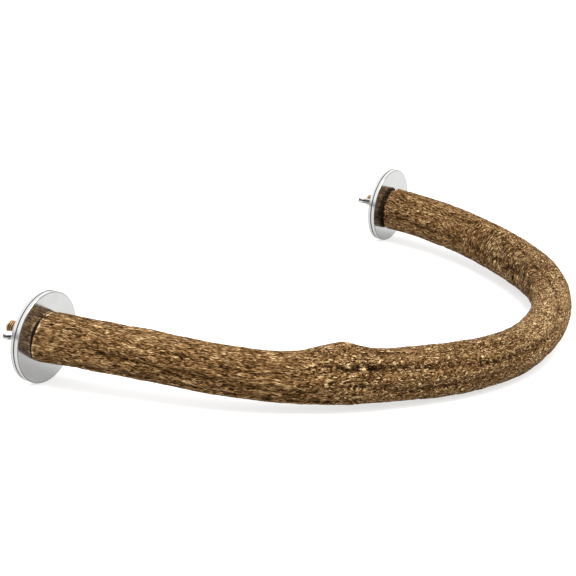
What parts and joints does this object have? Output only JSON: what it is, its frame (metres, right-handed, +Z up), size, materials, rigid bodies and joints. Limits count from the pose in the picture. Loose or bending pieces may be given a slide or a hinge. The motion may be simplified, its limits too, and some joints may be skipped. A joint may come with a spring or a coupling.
{
  "type": "bird perch",
  "caption": "U-shaped bark-covered branch that stands out from a cage wall, clamped to the bars at both ends by a hanger bolt, wide washers and a wing nut.",
  "frame": {"origin": "midway between the axes of the two hanger bolts, on the plane where the inner and outer washers meet and the cage bars are clamped", "axes": "+X from the left clamp to the right one, +Y along the bolts to their free ends and the cage wall, +Z up, so that the branch reaches out along -Y"},
  "size_m": [0.349, 0.1855, 0.04],
  "materials": {
    "bark": "rough natural bark, pale torn wood at the sawn ends",
    "bolt": "yellow zinc plate",
    "washer": "polished, mirror-like",
    "wing_nut": "bright plated casting"
  },
  "bodies": {
    "perch": {"branch": "bark", "left_hanger_bolt": "bolt", "right_hanger_bolt": "bolt"},
    "left_inner_washer": {"left_inner_washer": "washer"},
    "left_outer_washer": {"left_outer_washer": "washer"},
    "left_wing_nut": {"left_wing_nut": "wing_nut"},
    "right_inner_washer": {"right_inner_washer": "washer"},
    "right_outer_washer": {"right_outer_washer": "washer"},
    "right_wing_nut": {"right_wing_nut": "wing_nut"}
  },
  "joints": [
    {"name": "left_inner_washer_turn", "type": "hinge", "parent": "perch", "child": "left_inner_washer", "pos_m": [-0.1545, 0, 0], "axis": [0, 1, 0], "continuous": true},
    {"name": "left_clamp_opening", "type": "slide", "parent": "perch", "child": "left_outer_washer", "axis": [0, 1, 0], "range_m": [0, 0.009]},
    {"name": "left_wing_nut_turn", "type": "hinge", "parent": "left_outer_washer", "child": "left_wing_nut", "pos_m": [-0.1545, 0, 0], "axis": [0, 1, 0], "range_deg": [0, 3240]},
    {"name": "right_inner_washer_turn", "type": "hinge", "parent": "perch", "child": "right_inner_washer", "pos_m": [0.1545, 0, 0], "axis": [0, 1, 0], "continuous": true},
    {"name": "right_clamp_opening", "type": "slide", "parent": "perch", "child": "right_outer_washer", "axis": [0, 1, 0], "range_m": [0, 0.004]},
    {"name": "right_wing_nut_turn", "type": "hinge", "parent": "right_outer_washer", "child": "right_wing_nut", "pos_m": [0.1545, 0, 0], "axis": [0, 1, 0], "range_deg": [0, 1440]}
  ],
  "couplings": [
    {"joint": "left_clamp_opening", "follows": "left_wing_nut_turn", "m_per_rad": 0.00015915},
    {"joint": "right_clamp_opening", "follows": "right_wing_nut_turn", "m_per_rad": 0.00015915}
  ]
}
